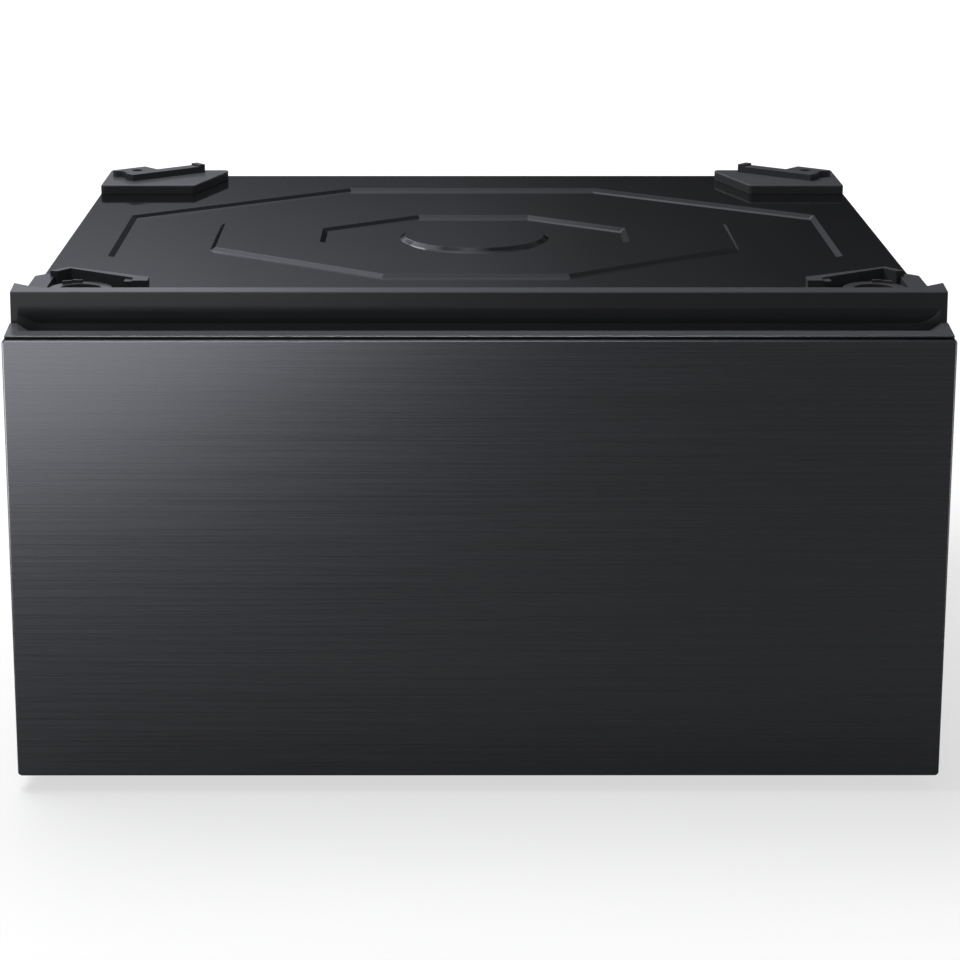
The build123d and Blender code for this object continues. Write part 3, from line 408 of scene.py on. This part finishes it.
def crossHeadScrew(length):
    # a small grid gives the crown and the cross, then its rim is drawn out, down and in to the shank
    bm = bmesh.new()
    crown, cells = screwLook["head"] * screwLook["crown"], screwLook["cells"]
    bmesh.ops.create_grid(bm, x_segments=cells, y_segments=cells, size=crown)
    arm, slot = screwLook["arm"], screwLook["slot"]
    lines = dict(zip(range(-cells, cells + 1, 2), (-1.0, -arm, -slot, slot, arm, 1.0)))
    for vert in bm.verts:
        column, row = (round(part / crown * cells) for part in vert.co.xy)
        vert.co.xy = crown * lines[column], crown * lines[row]
    for vert in [vert for vert in bm.verts if vert.is_boundary]:
        vert.co = vert.co.normalized() * crown
    cross = [face for face in bm.faces if inCross(face, crown)]
    sunk = bmesh.ops.extrude_face_region(bm, geom=cross)["geom"]
    bmesh.ops.delete(bm, geom=cross, context="FACES")
    floorVerts = onlyOf(bmesh.types.BMVert, sunk)
    bmesh.ops.translate(bm, vec=(0, 0, -screwLook["recess"]), verts=floorVerts)
    bmesh.ops.scale(bm, vec=(screwLook["taper"], screwLook["taper"], 1.0), verts=floorVerts)
    head, rise, shank, point = (screwLook[key] for key in ("head", "rise", "shank", "point"))
    steps = [(head * out, -rise * down) for out, down in screwLook["rim"]]
    steps += [(shank, -rise), (shank, -rise - length * point["starts"]),
              (shank * point["tip"], -rise - length)]
    ring = [e for e in bm.edges if e.is_boundary]
    radius, height = crown, 0.0
    for wider, lower in steps:
        grown = bmesh.ops.extrude_edge_only(bm, edges=ring)["geom"]
        moved = onlyOf(bmesh.types.BMVert, grown)
        bmesh.ops.scale(bm, vec=(wider / radius, wider / radius, 1), verts=moved)
        bmesh.ops.translate(bm, vec=(0, 0, lower - height), verts=moved)
        ring = onlyOf(bmesh.types.BMEdge, grown)
        radius, height = wider, lower
    bmesh.ops.edgeloop_fill(bm, edges=ring)
    bmesh.ops.recalc_face_normals(bm, faces=bm.faces)
    return bm


def headPlaces(node, outward):
    # middle of each fastener's crown with its direction, and the fasteners' whole length
    places, length = [], 0.0
    for low, high in solidBoxes(node):
        middle = (low + high) / 2
        out = Vector(outward(middle))
        half = (high - low) / 2
        reach = sum(abs(out[i]) * half[i] for i in range(3))
        places.append((middle + out * reach, out))
        length = 2 * reach
    return places, length


screwGroups = {
    "rear_panel_screws": lambda middle: (0, 1, 0),
    "rail_screws": lambda middle: (0, 1, 0),
    "drawer_front_screws": lambda middle: (0, 1, 0),
    "seat_screws": lambda middle: upright,
    "slide_inner_screws": lambda middle: (-math.copysign(1, middle.x), 0, 0),
}
for node, outward in screwGroups.items():
    places, length = headPlaces(node, outward)
    addPiece(node + "_cross", repeatShape(crossHeadScrew(length - screwLook["rise"]), places), node)
print("screw groups:", len(screwGroups))


# Domed rivets of the fixed slide members

rivetLook = {"head": 0.0045, "rise": 0.0015, "shank": 0.0025, "steps": 28,
             "dome": ((0.0, 0.0), (0.35, 0.06), (0.65, 0.22), (0.87, 0.5), (1.0, 0.9), (1.0, 1.0))}
places, length = headPlaces("slide_rivets", lambda middle: (math.copysign(1, middle.x), 0, 0))
rivetProfile = [(rivetLook["head"] * out, -rivetLook["rise"] * down) for out, down in rivetLook["dome"]]
rivetProfile += [(rivetLook["shank"], -rivetLook["rise"]), (rivetLook["shank"], -length), (0.0, -length)]
rivet = bmesh.new()
spinProfile(rivet, rivetProfile, rivetLook["steps"])
addPiece("slide_rivets_domed", repeatShape(rivet, places), "slide_rivets")


# Bearing balls

ballLook = {"round": 20, "rings": 12, "smooth": 80}
for node in [name for name in nodes if name.endswith("_balls")]:
    balls = bmesh.new()
    for low, high in solidBoxes(node):
        bmesh.ops.create_uvsphere(balls, u_segments=ballLook["round"], v_segments=ballLook["rings"],
                                  radius=(high.x - low.x) / 2, matrix=Matrix.Translation((low + high) / 2))
    addPiece(node + "_round", balls, node, ballLook["smooth"])
print("rivets and balls")


# Rubber stops behind the drawer's face

bumperLook = {"radius": 0.0050, "edge": 0.0012, "edgeSteps": 4, "steps": 32}
places, length = headPlaces("drawer_bumpers", lambda middle: (0, 1, 0))
edge, edgeSteps = bumperLook["edge"], bumperLook["edgeSteps"]
flat = bumperLook["radius"] - edge
bumperProfile = [(0.0, 0.0), (flat, 0.0)]
for turn in (math.pi / 2 / edgeSteps * k for k in range(1, edgeSteps + 1)):
    bumperProfile.append((flat + edge * math.sin(turn), edge * (math.cos(turn) - 1)))
bumperProfile += [(bumperLook["radius"], -length), (0.0, -length)]
bumper = bmesh.new()
spinProfile(bumper, bumperProfile, bumperLook["steps"])
addPiece("drawer_bumpers_round", repeatShape(bumper, places), "drawer_bumpers")


# Hexagon nuts of the levelling feet

nutLook = {"flats": 0.0170, "bore": 0.0051, "crown": 0.96, "slope": 0.5, "cuts": 5, "smooth": 28}


def hexNut(height, bore):
    # hexagon with both ends chamfered to a circle, drawn from its middle to each end and back down the bore
    bm = bmesh.new()
    inner = nutLook["flats"] / 2
    crown = inner * nutLook["crown"]
    bmesh.ops.create_circle(bm, cap_ends=False, segments=6, radius=inner / math.cos(math.pi / 6))
    bmesh.ops.rotate(bm, cent=(0, 0, 0), matrix=Matrix.Rotation(math.pi / 6, 3, "Z"), verts=bm.verts)
    bmesh.ops.subdivide_edges(bm, edges=bm.edges, cuts=nutLook["cuts"])
    middle = list(bm.edges)

    def drawn(ring, height, radius=None):
        grown = bmesh.ops.extrude_edge_only(bm, edges=ring)["geom"]
        for vert in onlyOf(bmesh.types.BMVert, grown):
            away = vert.co.xy.length
            if radius is None:
                # the chamfer's cone cuts lower at the corners
                vert.co.z = height - math.copysign((away - crown) * nutLook["slope"], height)
            else:
                vert.co.xy = vert.co.xy * (radius / away)
                vert.co.z = height
        return onlyOf(bmesh.types.BMEdge, grown)

    for end in (height / 2, -height / 2):
        ring = drawn(middle, end)
        for level, radius in ((end, crown), (end, bore), (0.0, bore)):
            ring = drawn(ring, level, radius)
    bmesh.ops.remove_doubles(bm, verts=bm.verts, dist=weld["spunGap"])
    bmesh.ops.recalc_face_normals(bm, faces=bm.faces)
    return bm


for node in ("foot_weld_nuts", "foot_lock_nuts"):
    boxes = solidBoxes(node)
    places = [((low + high) / 2, upright) for low, high in boxes]
    nutHeight = boxes[0][1].z - boxes[0][0].z
    addPiece(node + "_hex", repeatShape(hexNut(nutHeight, nutLook["bore"]), places), node, nutLook["smooth"])


# Pads and threaded stems of the levelling feet

padLook = {"radius": 0.0220, "rim": 0.0030, "steps": 56, "grooveDepth": 0.0009,
           "groove": ((0.55, 0), (0.58, 1), (0.66, 1), (0.69, 0)),
           "edge": ((0.93, 0.0), (0.98, 0.0005), (1.0, 0.0014)),
           "brim": ((1.0, -0.0008), (0.975, 0.0), (0.80, 0.0014), (0.62, 0.0031)),
           "neck": 0.0080, "neckFlare": 1.12, "neckEdge": 0.0010, "socket": 0.0051, "socketDepth": 0.0045}
stemLook = {"core": 0.0044, "crest": 0.0050, "pitch": 0.0015, "steps": 32, "turnSteps": 20, "smooth": 28,
            "foot": {"share": 0.9, "height": 0.0006}, "end": {"share": 0.8, "height": 0.0008},
            "bare": 0.0012, "rooted": 0.0001, "flanks": (0.42, 0.55, 0.97),
            "collar": (0.0093, 0.0143), "collarBore": 0.98}


def footPad(top):
    radius, rim, neck, socket = (padLook[key] for key in ("radius", "rim", "neck", "socket"))
    floor = top - padLook["socketDepth"]
    profile = [(0.0, 0.0)]
    profile += [(radius * out, padLook["grooveDepth"] * up) for out, up in padLook["groove"]]
    profile += [(radius * out, up) for out, up in padLook["edge"]]
    profile += [(radius * out, rim + up) for out, up in padLook["brim"]]
    profile += [(neck * padLook["neckFlare"], top - padLook["neckEdge"]), (neck, top), (socket, top),
                (socket, floor), (0.0, floor)]
    bm = bmesh.new()
    spinProfile(bm, profile, padLook["steps"])
    return bm


def threadedStem(low, high):
    # a plain core, a ridge that winds up it, and the hexagon collar for the spanner
    core, crest, pitch = stemLook["core"], stemLook["crest"], stemLook["pitch"]
    foot, end = stemLook["foot"], stemLook["end"]
    collarLow, collarHigh = stemLook["collar"]
    bm = bmesh.new()
    spinProfile(bm, [(0.0, low), (core * foot["share"], low), (core, low + foot["height"]),
                     (core, high - end["height"]), (core * end["share"], high), (0.0, high)],
                stemLook["steps"])
    turns = int((high - stemLook["bare"] - collarHigh) / pitch) - 1
    steps = stemLook["turnSteps"]
    root = core - stemLook["rooted"]
    rising, falling, ended = (collarHigh + pitch * share for share in stemLook["flanks"])
    ridge = profileEdges(bm, [(root, collarHigh), (crest, rising), (crest, falling), (root, ended)])
    bmesh.ops.spin(bm, geom=ridge, cent=(0, 0, 0), axis=upright, dvec=(0, 0, pitch / steps),
                   angle=2 * math.pi * turns, steps=steps * turns, use_merge=False)
    collar = hexNut(collarHigh - collarLow, core * stemLook["collarBore"])
    bmesh.ops.translate(collar, vec=(0, 0, (collarLow + collarHigh) / 2), verts=collar.verts)
    moveInto(bm, collar)
    return bm


for corner in ("front_left", "front_right", "rear_left", "rear_right"):
    padNode, stemNode = "foot_pad_" + corner, "foot_stem_" + corner
    low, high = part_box(padNode)
    centre = (Vector(low) + Vector(high)) / 2
    places = [((centre.x, centre.y, 0.0), upright)]
    addPiece(padNode + "_rubber", repeatShape(footPad(high[2]), places), padNode)
    stemLow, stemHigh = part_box(stemNode)
    stem = threadedStem(stemLow[2], stemHigh[2])
    addPiece(stemNode + "_threaded", repeatShape(stem, places), stemNode, stemLook["smooth"])
print("levelling feet")


# Camera

view = {"place": (-0.0236, -2.309, 0.7903), "pitch": 13.71, "yaw": -0.04, "lens": 105.06, "sensor": 36.0,
        "shift": (0.0328, -0.10), "clipEnd": 60.0}
cameraData = bpy.data.cameras.new("photoCamera")
cameraData.lens = view["lens"]
cameraData.sensor_width = view["sensor"]
cameraData.shift_x, cameraData.shift_y = view["shift"]
cameraData.clip_end = view["clipEnd"]
camera = bpy.data.objects.new("photoCamera", cameraData)
camera.location = view["place"]
camera.rotation_euler = (math.radians(90 - view["pitch"]), 0, math.radians(view["yaw"]))
bpy.context.scene.collection.objects.link(camera)
bpy.context.scene.camera = camera


# Lamps, of which those with sheenOn light only the gloss of the pieces named there

lamps = {
    "topLamp": {"place": (-0.55, 0.4, 2.4), "aim": (0.0, 0.0, 0.35), "size": (2.0, 1.6), "watts": 68},
    "keyLamp": {"place": (-1.6, -2.2, 1.7), "aim": (-0.2, -0.2, 0.2), "size": (1.2, 1.2), "watts": 4},
    "fillLamp": {"place": (2.2, -2.6, 1.6), "aim": (0.2, 0.0, 0.2), "size": (1.6, 1.6), "watts": 3},
    "sheenLamp": {"place": (-0.57, -1.2, 0.40), "aim": (0.0, -0.3, 0.2), "size": (0.95, 0.95), "watts": 17.2,
                  "roll": 25, "sheenOn": ("drawer_front_skin", "handle_cap", "front_top_rail")},
    "edgeLamp": {"place": (-0.5, -1.3, 1.8), "aim": (0.0, -0.3, 0.35), "size": (1.6, 0.5), "watts": 45,
                 "sheenOn": ("drawer_front_skin", "front_top_rail")},
    "lipLamp": {"place": (-0.4, -0.65, 1.6), "aim": (-0.4, -0.33, 0.35), "size": (1.5, 1.0), "watts": 550,
                "sheenOn": ("handle_cap",)},
    "leftStrip": {"place": (-0.85, -0.62, 0.24), "aim": (-0.343, -0.345, 0.2), "size": (0.45, 0.44),
                  "watts": 11, "sheenOn": ("drawer_front_skin",)},
    "rightStrip": {"place": (0.85, -0.62, 0.24), "aim": (0.343, -0.345, 0.2), "size": (0.45, 0.44),
                   "watts": 3.5, "sheenOn": ("drawer_front_skin",)},
}
for name, lamp in lamps.items():
    data = bpy.data.lights.new(name, "AREA")
    data.shape = "RECTANGLE"
    data.size, data.size_y = lamp["size"]
    data.energy = lamp["watts"]
    obj = bpy.data.objects.new(name, data)
    obj.location = lamp["place"]
    aim = Vector(lamp["aim"]) - Vector(lamp["place"])
    roll = Matrix.Rotation(math.radians(lamp.get("roll", 0)), 4, "Z")
    obj.rotation_euler = (aim.to_track_quat("-Z", "Y").to_matrix().to_4x4() @ roll).to_euler()
    obj.visible_camera = False
    bpy.context.scene.collection.objects.link(obj)
    if "sheenOn" in lamp:
        obj.visible_diffuse = False
        litPieces = bpy.data.collections.new(name + "Pieces")
        for node in lamp["sheenOn"]:
            litPieces.objects.link(softPieces[node])
        obj.light_linking.receiver_collection = litPieces
bpy.data.objects["topLamp"].visible_glossy = False


# Floor

def stagedMesh(name, bm, material):
    mesh = meshFrom(name, bm)
    mesh.materials.append(material)
    piece = bpy.data.objects.new(name, mesh)
    bpy.context.scene.collection.objects.link(piece)
    return piece


def seenDirectly(tree, mirrored=1.0):
    # 1 for rays that look at the background itself, and a share of it for those that gloss sends there
    path = tree.nodes.new("ShaderNodeLightPath")
    glossy = timesOf(tree, path.outputs["Is Glossy Ray"], mirrored)
    return greaterOf(tree, greaterOf(tree, path.outputs["Is Camera Ray"], glossy),
                     path.outputs["Is Transmission Ray"])


floorLook = {"reach": 60.0, "colour": (0.35, 0.35, 0.35), "roughness": 0.9, "specular": 0.1,
             "near": (0.6, 0.65), "far": (2.6, 0.97), "mirrored": 0.3}


def paleFloor():
    # white far away, and a little less lifted near the object, where its shadow falls
    mat, tree, shader = startMaterial("paleFloor", floorLook["colour"], 0.0, floorLook["roughness"],
                                      floorLook["specular"])
    shader.inputs["Emission Color"].default_value = (1, 1, 1, 1)
    away = tree.nodes.new("ShaderNodeVectorMath")
    away.operation = "LENGTH"
    tree.links.new(objectPlace(tree), away.inputs[0])
    (nearEnd, nearLift), (farEnd, farLift) = floorLook["near"], floorLook["far"]
    lift = spread(tree, away.outputs["Value"], nearLift, farLift, nearEnd, farEnd)
    tree.links.new(timesOf(tree, lift, seenDirectly(tree, floorLook["mirrored"])),
                   shader.inputs["Emission Strength"])
    return mat


floorSquare = bmesh.new()
bmesh.ops.create_grid(floorSquare, x_segments=1, y_segments=1, size=floorLook["reach"] / 2)
stagedMesh("floor", floorSquare, paleFloor())


# A far tent round the object, brighter at the left, which only gloss shows

tent = {"radius": 8.0, "foot": 0.01, "seam": -0.6, "step": 2.7, "top": 4.4, "round": 48, "rings": 24,
        "colour": (0.955, 0.985, 1.09)}
upwards, rearwards = Vector(upright), Vector((0, 1, 0))
rearOnly, frontOnly = (tent["seam"], rearwards), (-tent["seam"], -rearwards)
# cuts keep what lies beyond a distance in a direction; across and up are stops of (place, level)
tentParts = {
    "lowRearTent": {"gain": 0.31, "cuts": (rearOnly, (-tent["step"], -upwards)),
                    "across": ((-1.6, 1.15), (-1.15, 1.0), (-0.72, 0.74), (-0.19, 0.54), (0.0, 0.49),
                               (0.27, 0.36), (0.54, 0.24), (0.80, 0.20), (1.06, 0.16), (1.3, 0.12),
                               (2.8, 0.10), (4.0, 0.5)),
                    "up": ((1.0, 0.1), (1.53, 0.38), (2.07, 1.0), (2.7, 2.0))},
    "middleRearTent": {"gain": 2.8, "cuts": (rearOnly, (tent["step"], upwards), (-tent["top"], -upwards)),
                       "across": ((-8.0, 0.2), (-2.4, 0.2), (-1.9, 1.0), (-1.1, 1.0), (-0.6, 0.45),
                                  (-0.1, 0.07), (0.35, 0.02), (2.8, 0.01), (4.2, 0.15), (8.0, 0.15))},
    "highRearTent": {"gain": 1.1, "cuts": (rearOnly, (tent["top"], upwards)),
                     "across": ((-8.0, 1.2), (-2.5, 1.2), (-2.0, 0.42), (-1.2, 0.6), (-0.5, 1.0), (0.0, 0.8),
                                (0.5, 0.55), (1.2, 0.12), (8.0, 0.08))},
    "frontTent": {"gain": 0.4, "cuts": (frontOnly,), "across": ((-8.0, 1.0), (8.0, 1.0))},
}


def glowMaterial(name, gain, across, up=None):
    mat = bpy.data.materials.new(name)
    mat.use_nodes = True
    tree = mat.node_tree
    tree.nodes.remove(tree.nodes["Principled BSDF"])
    glow = tree.nodes.new("ShaderNodeEmission")
    glow.inputs["Color"].default_value = (*tent["colour"], 1)
    split = tree.nodes.new("ShaderNodeSeparateXYZ")
    tree.links.new(objectPlace(tree), split.inputs["Vector"])
    level = gradedBy(tree, split.outputs["X"], across)
    if up:
        level = timesOf(tree, level, gradedBy(tree, split.outputs["Z"], up))
    tree.links.new(timesOf(tree, level, gain), glow.inputs["Strength"])
    tree.links.new(glow.outputs["Emission"], tree.nodes["Material Output"].inputs["Surface"])
    return mat


for name, part in tentParts.items():
    shell = bmesh.new()
    bmesh.ops.create_uvsphere(shell, u_segments=tent["round"], v_segments=tent["rings"],
                              radius=tent["radius"])
    for away, kept in ((tent["foot"], upwards), *part["cuts"]):
        bmesh.ops.bisect_plane(shell, geom=shell.verts[:] + shell.edges[:] + shell.faces[:],
                               plane_co=kept * away, plane_no=kept, clear_inner=True)
    piece = stagedMesh(name, shell, glowMaterial(name, part["gain"], part["across"], part.get("up")))
    piece.visible_camera = False
    piece.visible_diffuse = False
    piece.visible_transmission = False
    piece.visible_shadow = False


# Sky

sky = {"white": 1.0, "light": 0.13}
world = bpy.data.worlds.new("studio")
bpy.context.scene.world = world
world.use_nodes = True
skyTree = world.node_tree
skyTree.links.new(spread(skyTree, seenDirectly(skyTree), sky["light"], sky["white"], 0.0, 1.0),
                  skyTree.nodes["Background"].inputs["Strength"])
skyTree.nodes["Background"].inputs["Color"].default_value = (1, 1, 1, 1)

bpy.context.scene.view_settings.view_transform = "Standard"
print("stage: camera,", len(lamps), "lamps, floor, tent and sky")
